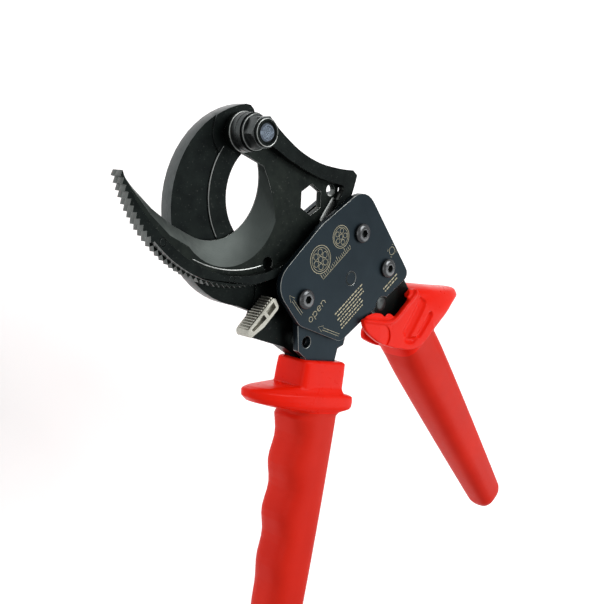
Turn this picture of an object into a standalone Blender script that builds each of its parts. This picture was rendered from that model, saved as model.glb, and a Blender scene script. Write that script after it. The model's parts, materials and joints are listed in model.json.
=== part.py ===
"""Ratchet cable cutter, lying flat with its handles open and its jaw part closed.

Lengths below are in millimetres; to_m turns them into metres when a mesh is made.
The blade pivot's axis is the Z axis, +Y points from the handles to the head, and z = 0 is the
plane that the tool lies on. Layer heights are counted from the middle of its thickness.
"""

import math

import bmesh
import bpy
from mathutils import Vector
from mathutils.geometry import tessellate_polygon

# --- layers, from the middle of the tool's thickness ---------------------------------------
GAP = 0.3
MIDDLE_Z = 13.8
FIXED_BLADE_Z = (-7.25, 0.1)
RECESSED_FACE_Z = -0.6
MOVING_BLADE_Z = (0.4, 3.4)
BLADE_FRAME_Z = (3.7, 7.25)
COLLAR_TOP_Z = 9.9
PLATE_Z = (7.55, 10.35)
SCREW_HEAD_Z = (10.65, 12.7)
PAWL_Z = (0.45, 3.4)
CHEEK_Z = (4.1, 6.95)
MOUTH_Z = (10.65, 13.8)

# --- blade pivot -----------------------------------------------------------------------------
BOLT_R = 4.0
BOLT_HOLE_R = 4.3
EYE_R = 8.5
FIXED_EYE_R = 9.7
NUT_ACROSS_CORNERS = 15.0
STRAP_Z = (3.7, 7.25)
LEVER_Z = (0.45, 8.3)
NUT_Z = (10.2, 16.8)
NUT_CROWN_Z = 18.2
BOLT_END_Z = 18.6
BOLT_HEAD_Z = (-13.8, -9.5)
WASHER_Z = (-9.2, -7.55)

# --- fixed blade: outer arc, cutting arc ------------------------------------------------------
HOOK_C = (14.7, -30.2)
HOOK_R = 44.6
FIXED_JAW_C = (22.2, -24.3)
FIXED_JAW_R = 24.5
LAND_WIDTH = 9.4
BOSS_R = 14.0

# --- moving blade -----------------------------------------------------------------------------
MOVING_JAW_C = (-11.2, -22.3)
MOVING_JAW_R = 26.0
BEVEL_C = (-2.0, -30.0)
BEVEL_R = 28.4
EDGE_THICKNESS = 0.5
TOOTH_TIP_R = 67.3
TOOTH_ROOT_R = 65.7
TOOTH_PITCH = 2.553
TOOTH_LEAN = 0.66
TOOTH_COUNT = 54
TAIL_ANGLE = -156.0
SMOOTH_RIM_R = 66.8
SAW_TEETH = 11
RIM_INNER_R = 59.6
RIM_ANGLES = (-18, -155)
TAIL_TAPER = 4.9
TAPER_START = -120.0
TAPER_SWEEP = 34.0
WEB_CORNER = (60.8, -14.8, 2.2)
LUG_R = 70.4
LUG_ANGLES = (-15.0, -5.2)
HEX_C = (45.9, -22.1)
HEX_ACROSS_CORNERS = 14.6
RELIEF_HOLE = (25.0, -54.0, 3.0)
SLOT_HOLE = (57.6, -15.8, 2.8)
SLOT_ENDS = ((60.2, -19.6), (54.6, -30.0))
SLOT_R = 0.9
BLADE_RIVETS = {"blade_rivet_tail": (-36.4, -51.6), "blade_rivet_rim": (2.5, -63.0)}
BLADE_RIVET_R = 1.5

# --- side plates ------------------------------------------------------------------------------
PLATE_CORNERS = (
    ((74.4, -10.8), 11.0),
    ((48.8, -32.6), 30.0),
    ((24.2, -62.7), 11.0),
    ((44.5, -80.2), 10.0),
    ((73.6, -86.1), 6.0),
    ((117.4, -49.4), 4.0),
)
PLATE_NOTCH = (100.3, -67.0, 5.2)
UPPER_SCREW = (76.2, -33.1)
HANDLE_PIVOT = (99.0, -47.7)
PAWL_PIVOT = (45.2, -67.6)
STRAP_PIN = (73.9, -55.3)
SCREW_R = 2.5
SCREW_HOLE_R = 2.8
SCREW_HEAD_R = 4.75
STRAP_PIN_R = 3.1

# --- handles ----------------------------------------------------------------------------------
OPEN_ANGLE = -42.5
FIXED_AXIS_X = 69.3
WAVE_CREST_Y = -147.0
WAVE_LENGTH = 25.0
WAVE_HEIGHT = 1.3
LANYARD_HOLE = (53.8, -87.8, 2.8)
TANG_X = (62.0, 75.0)
TANG_END_Y = -165.0
HANDLE_LENGTH = 191.5
CHANNEL_END = 120.0
DRIVE_PIN = (15.3, -10.8)
DRIVE_PIN_R = 2.5
DRIVE_PAWL_LENGTH = 51.0
DRIVE_PAWL_ANGLE = 150.0
TANG_RIVET_YS = {"tang_rivet_upper": -104.0, "tang_rivet_lower": -150.0}

UNIT = 0.001


# --- scene, materials, small helpers ------------------------------------------------------------
def clear_scene():
    for obj in list(bpy.data.objects):
        bpy.data.objects.remove(obj, do_unlink=True)


def make_collection(name, hidden=False):
    collection = bpy.data.collections.new(name)
    bpy.context.scene.collection.children.link(collection)
    collection.hide_render = hidden
    return collection


clear_scene()
PARTS = make_collection("ratchet_cable_cutter")
CUTTERS = make_collection("cutters", hidden=True)


def make_material(name, color, roughness, metallic):
    material = bpy.data.materials.new(name)
    material.use_nodes = True
    shader = material.node_tree.nodes["Principled BSDF"]
    shader.inputs["Base Color"].default_value = (*color, 1.0)
    shader.inputs["Roughness"].default_value = roughness
    shader.inputs["Metallic"].default_value = metallic
    return material


BLACK_STEEL = make_material("black_oxide_steel", (0.035, 0.042, 0.042), 0.45, 0.9)
GROUND_STEEL = make_material("ground_steel", (0.32, 0.34, 0.34), 0.35, 1.0)
PLATE_STEEL = make_material("blued_plate_steel", (0.055, 0.075, 0.095), 0.4, 0.8)
BRIGHT_STEEL = make_material("bright_steel", (0.45, 0.46, 0.46), 0.25, 1.0)
ZINC = make_material("zinc_casting", (0.42, 0.41, 0.34), 0.4, 0.9)
RED_GRIP = make_material("red_grip", (0.68, 0.05, 0.03), 0.45, 0.0)


def to_m(point):
    return Vector(point) * UNIT


def polar(center, radius, degrees):
    angle = math.radians(degrees)
    return (center[0] + radius * math.cos(angle), center[1] + radius * math.sin(angle))


def arc(center, radius, start, end, steps):
    """Points along an arc, from start to end in degrees, both ends included."""
    return [polar(center, radius, start + (end - start) * i / steps) for i in range(steps + 1)]


def rounded(corners, steps=6):
    """The closed outline through (point, radius) corners, each turned with its own radius."""
    outline = []
    count = len(corners)
    for i, (corner, radius) in enumerate(corners):
        here = Vector(corner)
        before = (Vector(corners[i - 1][0]) - here).normalized()
        after = (Vector(corners[(i + 1) % count][0]) - here).normalized()
        if radius == 0:
            outline.append(tuple(here))
            continue
        half = before.angle(after) / 2
        middle = here + (before + after).normalized() * (radius / math.sin(half))
        first = here + before * (radius / math.tan(half)) - middle
        turn = first.angle_signed(here + after * (radius / math.tan(half)) - middle)
        start = math.degrees(math.atan2(first.y, first.x))
        outline += arc(middle, radius, start, start - math.degrees(turn), steps)
    return outline


def smooth_through(points, steps):
    """A Catmull-Rom curve through the points, with the given steps between neighbours."""
    ends = [points[0], *points, points[-1]]
    curve = []
    for i in range(1, len(ends) - 2):
        a, b, c, d = (Vector(p) for p in ends[i - 1 : i + 3])
        for j in range(steps):
            t = j / steps
            place = b * 2 + (c - a) * t + (a * 2 - b * 5 + c * 4 - d) * t**2
            place += (b * 3 - a - c * 3 + d) * t**3
            curve.append(tuple(place / 2))
    curve.append(tuple(points[-1]))
    return curve


def add_object(name, mesh, material, parent=None, cutter=False):
    obj = bpy.data.objects.new(name, mesh)
    (CUTTERS if cutter else PARTS).objects.link(obj)
    obj.parent = parent
    if cutter:
        obj.hide_render = True
        obj.display_type = "WIRE"
    else:
        mesh.materials.append(material)
        mesh.shade_smooth()
        mesh.set_sharp_from_angle(angle=math.radians(30))
    return obj


def from_bmesh(name, shape, material, parent=None, cutter=False):
    bmesh.ops.recalc_face_normals(shape, faces=shape.faces)
    mesh = bpy.data.meshes.new(name)
    shape.to_mesh(mesh)
    shape.free()
    return add_object(name, mesh, material, parent, cutter)


def extruded(name, outline, heights, material=None, parent=None, cutter=False):
    """A flat outline given thickness between two layer heights."""
    curve = bpy.data.curves.new(name, "CURVE")
    curve.dimensions = "2D"
    curve.fill_mode = "BOTH"
    curve.extrude = (heights[1] - heights[0]) / 2 * UNIT
    spline = curve.splines.new("POLY")
    spline.points.add(len(outline) - 1)
    for point, place in zip(spline.points, outline):
        point.co = (*to_m(place), 0.0, 1.0)
    spline.use_cyclic_u = True
    holder = bpy.data.objects.new(name, curve)
    bpy.context.scene.collection.objects.link(holder)
    graph = bpy.context.evaluated_depsgraph_get()
    mesh = bpy.data.meshes.new_from_object(holder.evaluated_get(graph))
    bpy.data.objects.remove(holder)
    shape = bmesh.new()
    shape.from_mesh(mesh)
    bpy.data.meshes.remove(mesh)
    bmesh.ops.remove_doubles(shape, verts=shape.verts, dist=1e-6)
    lift = ((heights[0] + heights[1]) / 2 + MIDDLE_Z) * UNIT
    bmesh.ops.translate(shape, verts=shape.verts, vec=(0, 0, lift))
    return from_bmesh(name, shape, material, parent, cutter)


def lofted(name, rings, material=None, parent=None, cutter=False):
    """A closed solid through rings of equal length, with both ends capped."""
    shape = bmesh.new()
    loops = [[shape.verts.new(to_m(p)) for p in ring] for ring in rings]
    for low, high in zip(loops, loops[1:]):
        for i in range(len(low)):
            j = (i + 1) % len(low)
            shape.faces.new((low[i], low[j], high[j], high[i]))
    for ring, loop in ((rings[0], loops[0]), (rings[-1], loops[-1])):
        for a, b, c in tessellate_polygon([[Vector(p) for p in ring]]):
            shape.faces.new((loop[a], loop[b], loop[c]))
    return from_bmesh(name, shape, material, parent, cutter)


def at_height(outline, height):
    return [(x, y, height + MIDDLE_Z) for x, y in outline]


def cone(name, center, radii, heights, material=None, parent=None, cutter=False, sides=32):
    """A cylinder, cone or, with six sides, a hexagonal prism standing on its axis."""
    shape = bmesh.new()
    bmesh.ops.create_cone(
        shape,
        cap_ends=True,
        segments=sides,
        radius1=radii[0] * UNIT,
        radius2=radii[1] * UNIT,
        depth=(heights[1] - heights[0]) * UNIT,
    )
    middle = ((heights[0] + heights[1]) / 2 + MIDDLE_Z) * UNIT
    bmesh.ops.translate(shape, verts=shape.verts, vec=(*to_m(center), middle))
    return from_bmesh(name, shape, material, parent, cutter)


def boolean(obj, operation, other):
    modifier = obj.modifiers.new(operation.lower() + "_" + other.name, "BOOLEAN")
    modifier.operation = operation
    modifier.solver = "EXACT"
    modifier.object = other
    return obj


def drill(obj, center, radius, parent=None, sides=24):
    """A round hole right through the object, at its place in the parent's frame."""
    name = f"{obj.name}_hole_{len(obj.modifiers)}"
    heights = (-25.0, 25.0)
    tool = cone(name, center, (radius, radius), heights, parent=parent, cutter=True, sides=sides)
    return boolean(obj, "DIFFERENCE", tool)


def turned(name, center, profile, material, parent=None, sides=32):
    """A solid of revolution from (radius, height) points listed from the top axis point down."""
    shape = bmesh.new()
    points = [shape.verts.new((r * UNIT, 0, (z + MIDDLE_Z) * UNIT)) for r, z in profile]
    for a, b in zip(points, points[1:]):
        shape.edges.new((a, b))
    mesh = bpy.data.meshes.new(name)
    shape.to_mesh(mesh)
    shape.free()
    obj = add_object(name, mesh, material, parent)
    obj.location = (*to_m(center), 0)
    screw = obj.modifiers.new("turn", "SCREW")
    screw.steps = sides
    screw.render_steps = sides
    screw.use_merge_vertices = True
    screw.merge_threshold = 0.00001
    return obj


def hinge_empty(name, place, degrees=0.0):
    empty = bpy.data.objects.new(name, None)
    PARTS.objects.link(empty)
    empty.location = (*to_m(place), MIDDLE_Z * UNIT)
    empty.rotation_euler.z = math.radians(degrees)
    empty.empty_display_size = 0.01
    return empty


def coil_spring(name, center, radius, wire_r, heights, turns, legs, parent, steps=10):
    """A torsion spring round an axis, with one straight leg leaving each end of the coil."""
    count = int(turns * steps)
    path = []
    for i in range(count + 1):
        x, y = polar(center, radius, 360 * turns * i / count + legs[0])
        path.append((x, y, heights[0] + (heights[1] - heights[0]) * i / count))
    ends = []
    for near, far in ((path[0], path[1]), (path[-1], path[-2])):
        away = (Vector(near) - Vector(far)).normalized() * legs[1]
        ends.append(tuple(Vector(near) + Vector((away.x, away.y, 0))))
    path = [ends[0], *path, ends[1]]
    curve = bpy.data.curves.new(name, "CURVE")
    curve.dimensions = "3D"
    curve.bevel_depth = wire_r * UNIT
    curve.bevel_resolution = 1
    curve.use_fill_caps = True
    spline = curve.splines.new("POLY")
    spline.points.add(len(path) - 1)
    for point, (x, y, z) in zip(spline.points, path):
        point.co = (*to_m((x, y, z + (0 if parent else MIDDLE_Z))), 1.0)
    obj = bpy.data.objects.new(name, curve)
    obj.data.materials.append(BRIGHT_STEEL)
    PARTS.objects.link(obj)
    obj.parent = parent
    return obj


# --- fixed blade ----------------------------------------------------------------------------
def fixed_blade_outline():
    outline = arc(HOOK_C, HOOK_R, 107.0, 270.0, 26)
    outline += [(27.0, -77.2), (24.9, -88.1), (46.5, -91.7), (51.2, -93.9)]
    outline += [(55.0, -95.6), (55.0, -108.0), (TANG_X[0], -109.8), (TANG_X[0], TANG_END_Y)]
    outline += [(TANG_X[1], TANG_END_Y), (TANG_X[1], -83.0), (71.0, -74.0), (71.0, -52.0)]
    outline += [(84.5, -39.5), (86.0, -31.0), (81.0, -20.0), (73.5, -16.4), (68.5, -17.5)]
    outline += arc(FIXED_JAW_C, FIXED_JAW_R, -40.0, -218.0, 30)
    outline += arc((0.0, 0.0), FIXED_EYE_R, -55.0, 50.0, 9)
    outline += [(7.4, 9.0), (6.2, 11.1), (4.2, 12.4)]
    return outline


fixed_blade = extruded("fixed_blade", fixed_blade_outline(), FIXED_BLADE_Z, BLACK_STEEL)
land_r = FIXED_JAW_R + LAND_WIDTH
outside_land = ((-40.0, 20.0), (-40.0, -84.0), (23.5, -84.0), (23.5, 20.0))
recess = extruded("face_recess", outside_land, (RECESSED_FACE_Z, 5.0), cutter=True)
for name, center, radius in (("land", FIXED_JAW_C, land_r), ("boss", (0.0, 0.0), BOSS_R)):
    kept = cone(name + "_keep", center, (radius, radius), (-5.0, 9.0), cutter=True, sides=72)
    boolean(recess, "DIFFERENCE", kept)
boolean(fixed_blade, "DIFFERENCE", recess)
rear_bevel = cone(
    "fixed_bevel",
    FIXED_JAW_C,
    (FIXED_JAW_R + 7.0, FIXED_JAW_R + 0.02),
    (-8.0, -0.9),
    cutter=True,
    sides=72,
)
boolean(fixed_blade, "DIFFERENCE", rear_bevel)
drill(fixed_blade, (0.0, 0.0), BOLT_HOLE_R)
for place in (UPPER_SCREW, PAWL_PIVOT):
    drill(fixed_blade, place, SCREW_HOLE_R)
drill(fixed_blade, LANYARD_HOLE[:2], LANYARD_HOLE[2])


# --- moving blade: cutting blade below, toothed frame above it ---------------------------------
def toothed_arc(count):
    """Ratchet teeth about the pivot, counted from the tail, each leaning towards the head."""
    outline = []
    for i in range(count):
        start = TAIL_ANGLE + i * TOOTH_PITCH
        outline.append(polar((0, 0), TOOTH_ROOT_R, start))
        outline.append(polar((0, 0), TOOTH_TIP_R, start + TOOTH_LEAN * TOOTH_PITCH))
    outline.append(polar((0, 0), TOOTH_ROOT_R, TAIL_ANGLE + count * TOOTH_PITCH))
    return outline


def cutting_blade_ring(bevelled):
    """One layer of the cutting blade; the bevelled one lies back from the cutting edge."""
    outline = toothed_arc(TOOTH_COUNT)
    outline += [(62.6, -12.0), (58.4, -8.8), (44.3, -8.4), (30.6, -5.3), (17.8, 0.4)]
    outline += arc((0.0, 0.0), EYE_R, 30.0, 270.0, 22)
    back = 1.0 if bevelled else 0.0
    for i, turn in enumerate(range(25, -109, -7)):
        edge = polar(MOVING_JAW_C, MOVING_JAW_R, turn)
        border = polar(BEVEL_C, BEVEL_R, 22.0 - i * 8.0)
        ease = min(1.0, 0.12 + i * 0.22) * back
        outline.append(tuple(Vector(edge).lerp(Vector(border), ease)))
    tail = ((-28.9, -44.1), (-39.9, -38.9), (-50.8, -31.8), (-58.4, -27.0))
    for i, point in enumerate(tail):
        shift = (1.0 - i / 3.0) * back
        outline.append((point[0] - 1.6 * shift, point[1] - 4.4 * shift))
    return outline


rings = [
    at_height(cutting_blade_ring(False), MOVING_BLADE_Z[0]),
    at_height(cutting_blade_ring(False), MOVING_BLADE_Z[0] + EDGE_THICKNESS),
    at_height(cutting_blade_ring(True), MOVING_BLADE_Z[1]),
]
cutting_blade = lofted("cutting_blade", rings, GROUND_STEEL)


def frame_outline():
    """Saw teeth at the tail, a smooth rim, the lug, and the rib that runs back to the eye."""
    outline = toothed_arc(SAW_TEETH)
    smooth_start = TAIL_ANGLE + (SAW_TEETH + 0.5) * TOOTH_PITCH
    outline += arc((0.0, 0.0), SMOOTH_RIM_R, smooth_start, RIM_ANGLES[0] + 0.5, 44)
    outline += arc((0.0, 0.0), LUG_R, LUG_ANGLES[0], LUG_ANGLES[1], 4)
    rib_top = ((66.9, -4.6), (57.9, -5.4), (44.3, -5.2), (30.6, -2.1), (17.4, 4.0), (12.0, 7.6))
    outline += smooth_through(rib_top, 4)
    outline += arc((0.0, 0.0), EYE_R, 75.0, 300.0, 20)
    rib_low = ((8.4, -3.4), (14.6, -3.6), (25.4, -7.3), (42.4, -11.3), (54.0, -12.4), (61.0, -12.6))
    outline += smooth_through(rib_low, 4)
    outline += arc(WEB_CORNER[:2], WEB_CORNER[2], 80.0, 0.0, 4)
    first, last = RIM_ANGLES
    for turn in range(first, last, -4):
        taper = TAIL_TAPER * max(0.0, (TAPER_START - turn) / TAPER_SWEEP) ** 1.5
        swell = 1.0 + math.exp((turn - first) / 14.0) + 2.1 * (turn - last) / (first - last)
        outline.append(polar((0, 0), RIM_INNER_R + swell + taper, turn))
    return outline


blade_frame = extruded("toothed_frame", frame_outline(), BLADE_FRAME_Z, BLACK_STEEL)
collar_heights = (BLADE_FRAME_Z[0] + 1.0, COLLAR_TOP_Z)
eye_collar = cone("eye_collar", (0, 0), (EYE_R - 0.2,) * 2, collar_heights, cutter=True, sides=48)
boolean(blade_frame, "UNION", eye_collar)
slot_way = Vector(SLOT_ENDS[1]) - Vector(SLOT_ENDS[0])
slot_turn = math.degrees(math.atan2(slot_way.y, slot_way.x))
slot_outline = arc(SLOT_ENDS[0], SLOT_R, slot_turn + 90, slot_turn + 270, 6)
slot_outline += arc(SLOT_ENDS[1], SLOT_R, slot_turn - 90, slot_turn + 90, 6)
slot = extruded("web_slot", slot_outline, (-2.0, 9.0), cutter=True)
boolean(cutting_blade, "DIFFERENCE", slot)
hex_tool = cone(
    "hex_hole",
    (0.0, 0.0),
    (HEX_ACROSS_CORNERS / 2,) * 2,
    (-30.0, 9.0),
    cutter=True,
    sides=6,
)
hex_tool.location = (*to_m(HEX_C), 0.0)
hex_tool.rotation_euler.z = math.radians(9.0)
boolean(cutting_blade, "DIFFERENCE", hex_tool)
drill(cutting_blade, RELIEF_HOLE[:2], RELIEF_HOLE[2])
drill(cutting_blade, SLOT_HOLE[:2], SLOT_HOLE[2])
for piece in (cutting_blade, blade_frame):
    drill(piece, (0.0, 0.0), BOLT_HOLE_R)
    for place in BLADE_RIVETS.values():
        drill(piece, place, BLADE_RIVET_R + GAP, sides=16)
rivet_heights = (MOVING_BLADE_Z[0], BLADE_FRAME_Z[1])
for name, place in BLADE_RIVETS.items():
    cone(name, place, (BLADE_RIVET_R,) * 2, rivet_heights, BRIGHT_STEEL, sides=16)

# --- blade pivot: bolt through from the rear, washer, domed nut with a spigot -------------------
head = BOLT_HEAD_Z
bolt_profile = (
    (0.0, BOLT_END_Z),
    (BOLT_R - 0.7, BOLT_END_Z),
    (BOLT_R, BOLT_END_Z - 0.7),
    (BOLT_R, head[1]),
    (8.2, head[1]),
    (8.2, head[0] + 1.6),
    (6.8, head[0]),
    (0.0, head[0]),
)
turned("pivot_bolt", (0.0, 0.0), bolt_profile, BLACK_STEEL)
pivot_washer = cone("pivot_washer", (0, 0), (9.0, 9.0), WASHER_Z, BRIGHT_STEEL)
drill(pivot_washer, (0.0, 0.0), BOLT_HOLE_R)
pivot_nut = cone(
    "pivot_nut", (0, 0), (NUT_ACROSS_CORNERS / 2,) * 2, NUT_Z, BLACK_STEEL, sides=6
)
crown = cone("nut_crown", (0, 0), (6.2, 5.4), (NUT_Z[1] - 1.0, NUT_CROWN_Z), cutter=True)
boolean(pivot_nut, "UNION", crown)
drill(pivot_nut, (0.0, 0.0), BOLT_HOLE_R)

# --- side plates, screws, nuts, sleeves ---------------------------------------------------------
plate_outline = rounded(PLATE_CORNERS)
for name, side in (("front_side_plate", 1), ("rear_side_plate", -1)):
    heights = sorted(side * z for z in PLATE_Z)
    plate = extruded(name, plate_outline, heights, PLATE_STEEL)
    drill(plate, PLATE_NOTCH[:2], PLATE_NOTCH[2], sides=32)
    for place in (UPPER_SCREW, HANDLE_PIVOT, PAWL_PIVOT):
        drill(plate, place, SCREW_HOLE_R)
    if side > 0:
        drill(plate, STRAP_PIN, STRAP_PIN_R + GAP)

screws = {"upper": UPPER_SCREW, "handle": HANDLE_PIVOT, "pawl": PAWL_PIVOT}
for name, place in screws.items():
    base, top = SCREW_HEAD_Z
    profile = (
        (0.0, top - 1.6),
        (1.7, top - 1.6),
        (1.7, top),
        (2.6, top),
        (4.0, top - 0.7),
        (SCREW_HEAD_R, base + 0.7),
        (SCREW_HEAD_R, base),
        (SCREW_R, base),
        (SCREW_R, -13.0),
        (0.0, -13.0),
    )
    turned(f"{name}_screw", place, profile, BRIGHT_STEEL, sides=24)
    nut = cone(f"{name}_nut", place, (4.6, 4.6), (-13.3, -10.65), BRIGHT_STEEL, sides=6)
    drill(nut, place, SCREW_HOLE_R)
sleeves = {
    "upper_sleeve": (UPPER_SCREW, 4.6, (FIXED_BLADE_Z[1] + GAP, PLATE_Z[0] - GAP)),
    "handle_sleeve": (HANDLE_PIVOT, 4.4, (-CHEEK_Z[0] + GAP, CHEEK_Z[0] - GAP)),
    "pawl_sleeve": (PAWL_PIVOT, 3.8, STRAP_Z),
}
for name, (place, radius, heights) in sleeves.items():
    drill(cone(name, place, (radius, radius), heights, BRIGHT_STEEL), place, SCREW_HOLE_R)
pin_heights = (STRAP_Z[0], PLATE_Z[1])
cone("strap_pin", STRAP_PIN, (STRAP_PIN_R,) * 2, pin_heights, BRIGHT_STEEL, sides=24)

# --- fixed handle -----------------------------------------------------------------------------
strap_outline = (
    (78.5, -50.0),
    (71.0, -49.0),
    (67.0, -54.0),
    (64.0, -62.0),
    (51.5, -76.0),
    (46.0, -78.5),
    (49.5, -92.5),
    (54.9, -95.6),
    (55.0, -107.0),
    (TANG_X[0], -109.8),
    (TANG_X[0], -158.0),
    (TANG_X[1], -158.0),
    (75.2, -95.0),
    (75.8, -89.8),
    (79.5, -88.0),
    (80.0, -84.0),
    (79.5, -72.0),
)
strap = extruded("fixed_handle_strap", strap_outline, STRAP_Z, PLATE_STEEL)
drill(strap, LANYARD_HOLE[:2], LANYARD_HOLE[2])
drill(strap, STRAP_PIN, STRAP_PIN_R + GAP)
rivet_x = (TANG_X[0] + TANG_X[1]) / 2
for name, y in TANG_RIVET_YS.items():
    for piece in (strap, fixed_blade):
        drill(piece, (rivet_x, y), 2.3 + GAP, sides=16)
    rivet_ends = (FIXED_BLADE_Z[0], STRAP_Z[1])
    cone(name, (rivet_x, y), (2.3, 2.3), rivet_ends, BRIGHT_STEEL, sides=16)


def oval(left, right, half_depth, left_power, right_power, count=28):
    """Half widths to the left and right, and a half depth, joined by squarish corners."""
    ring = []
    for i in range(count):
        turn = 2 * math.pi * (i + 0.5) / count
        c, s = math.cos(turn), math.sin(turn)
        half, power = (right, right_power) if c > 0 else (left, left_power)
        across = math.copysign(abs(c) ** (2 / power), c) * half
        ring.append((across, math.copysign(abs(s) ** (2 / power), s) * half_depth))
    return ring


def wave(y):
    """Finger waves of the fixed grip's outer side, fading out before its end."""
    swing = math.cos((y - WAVE_CREST_Y) / WAVE_LENGTH * 2 * math.pi)
    return WAVE_HEIGHT * swing * max(0.0, min(1.0, (y + 222.0) / 45.0))


def grip_rings(rows, place):
    """Rings along a grip; place turns (across, along, depth) into a point."""
    found = []
    for along, left, right, depth, *powers in rows:
        ring = oval(left, right, depth, powers[0], powers[-1])
        found.append([place(across, along, deep) for across, deep in ring])
    return found


fixed_rows = [
    (-96.0, 16.4, 11.4, 10.0, 7),
    (-96.8, 17.4, 12.2, 10.8, 7),
    (-109.0, 17.6, 12.4, 10.9, 7),
    (-109.6, 34.0, 12.8, 11.4, 2.5, 6),
    (-110.8, 41.0, 13.4, 12.2, 2.4, 6),
    (-112.6, 42.6, 15.0, 12.8, 2.4, 6),
    (-113.4, 42.6, 18.6, 13.2, 2.4, 6),
    (-115.5, 42.0, 19.4, 13.4, 2.4, 6),
    (-117.6, 38.5, 19.3, 13.3, 2.5, 6),
    (-119.2, 31.0, 18.2, 13.0, 2.8, 6),
    (-120.2, 22.0, 15.6, 12.6, 3.0, 5),
    (-120.8, 16.0, 13.8, 12.4, 3.0, 4),
]
for i in range(14):
    y = -125.0 - i * 7.4
    share = i / 13
    left = 14.6 - 3.2 * share + wave(y)
    right = 12.9 + 1.8 * share - 2.6 * share**2
    fixed_rows.append((y, left, right, 12.3 - 1.8 * share, 3.2))
fixed_rows += [(-229.5, 10.6, 11.4, 9.8, 3), (-235.0, 9.2, 10.0, 8.6, 2.8)]
fixed_rows.append((-238.5, 6.2, 6.8, 5.6, 2.4))
rings = grip_rings(fixed_rows, lambda a, y, d: (FIXED_AXIS_X + a, y, d + MIDDLE_Z))
fixed_grip = lofted("fixed_handle_grip", rings, RED_GRIP)
tang_room = (
    (54.5, -85.0),
    (54.5, -108.6),
    (TANG_X[0] - GAP, -110.5),
    (TANG_X[0] - GAP, TANG_END_Y - GAP),
    (TANG_X[1] + GAP, TANG_END_Y - GAP),
    (TANG_X[1] + 0.6, -85.0),
)
pocket = extruded("tang_room", tang_room, (-7.6, 7.6), cutter=True)
boolean(fixed_grip, "DIFFERENCE", pocket)

# --- moving handle: everything below is laid out along +X from its hinge --------------------------
handle = hinge_empty("handle_axis", HANDLE_PIVOT, OPEN_ANGLE)


def lowered(obj):
    """Shift a piece laid out at full height to its hinge's own height."""
    obj.location.z = -MIDDLE_Z * UNIT
    return obj


cheek_outline = arc((0.0, 0.0), 11.0, 60.0, 215.0, 14)
cheek_outline += arc(DRIVE_PIN, 5.8, 195.0, 300.0, 8)
cheek_outline += [(30.0, -10.5), (44.0, -8.4), (CHANNEL_END, -6.0), (CHANNEL_END, 6.0)]
cheek_outline += [(44.0, 8.4), (24.0, 9.6)]
channel = extruded("moving_handle_channel", cheek_outline, CHEEK_Z, PLATE_STEEL, handle)
lowered(channel)
rear_cheek_z = (-CHEEK_Z[1], -CHEEK_Z[0])
rear_cheek = extruded("rear_cheek", cheek_outline, rear_cheek_z, parent=handle, cutter=True)
boolean(channel, "UNION", lowered(rear_cheek))
web = ((62.0, 3.0), (CHANNEL_END - 2, 3.0), (CHANNEL_END - 2, 5.5), (62.0, 5.5))
channel_web = extruded("channel_web", web, (-CHEEK_Z[0] - 1, CHEEK_Z[0] + 1), None, handle, True)
boolean(channel, "UNION", lowered(channel_web))
for place, radius in (((0.0, 0.0), SCREW_HOLE_R), (DRIVE_PIN, DRIVE_PIN_R + GAP)):
    drill(channel, place, radius, parent=handle)
pin_ends = (-CHEEK_Z[1], CHEEK_Z[1])
drive_pin = cone("drive_pawl_pin", DRIVE_PIN, (DRIVE_PIN_R,) * 2, pin_ends, BRIGHT_STEEL, handle)
lowered(drive_pin)

moving_rows = [
    (37.0, 12.0, 11.9, 11.4, 4),
    (38.6, 12.8, 12.7, 12.2, 4),
    (49.0, 13.2, 13.0, 12.3, 4),
    (51.2, 13.4, 13.2, 12.2, 3.8),
    (53.0, 13.6, 13.4, 12.0, 3.5),
    (58.0, 14.0, 13.7, 11.9, 3.2),
]
for i in range(15):
    along = 66.0 + i * 8.0
    slim = 1.0 - 0.3 * (i / 14) ** 1.2
    moving_rows.append((along, 14.1 * slim, 13.8 * slim, 11.8 * slim, 3.2))
moving_rows += [(HANDLE_LENGTH - 5.0, 9.4, 9.2, 8.0, 3), (HANDLE_LENGTH - 1.6, 8.0, 7.8, 6.8, 2.8)]
moving_rows.append((HANDLE_LENGTH, 5.6, 5.4, 4.6, 2.6))
rings = grip_rings(moving_rows, lambda a, u, d: (u, a, d + MIDDLE_Z))
moving_grip = lowered(lofted("moving_handle_grip", rings, RED_GRIP, handle))
wing_rows = (
    (6.3, 40.2, 15.8, 12.9),
    (11.5, 40.1, 15.9, 13.1),
    (18.0, 42.2, 13.8, 12.6),
    (25.0, 45.8, 10.5, 11.4),
    (33.0, 49.9, 6.4, 9.0),
    (39.5, 53.3, 3.7, 6.3),
    (43.0, 55.2, 2.2, 3.6),
    (44.2, 55.8, 1.0, 1.5),
)
wing_rings = []
for across, middle, half_length, depth in wing_rows:
    ring = oval(half_length, half_length, depth, 3.2, 3.2)
    wing_rings.append([(middle + a, across, d + MIDDLE_Z) for a, d in ring])
wing = lofted("guard_wing", wing_rings, parent=handle, cutter=True)
boolean(moving_grip, "UNION", lowered(wing))
front_mouth = (
    (21.8, 9.4),
    (23.5, 6.8),
    (23.7, -2.0),
    (23.7, -9.6),
    (22.8, -13.4),
    (20.2, -17.2),
    (11.1, -25.7),
    (7.6, -28.7),
    (9.4, -31.8),
    (16.4, -32.4),
    (26.6, -28.0),
    (34.2, -22.0),
    (39.6, -17.6),
    (44.4, -13.8),
    (48.2, -9.2),
    (50.4, -3.4),
    (50.8, 4.0),
)
rear_mouth = (
    (31.5, 8.0),
    (32.0, 0.0),
    (33.0, -8.0),
    (33.6, -14.0),
    (34.3, -18.4),
    (37.5, -19.6),
    (42.6, -17.4),
    (47.0, -14.2),
    (50.0, -11.0),
)
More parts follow.
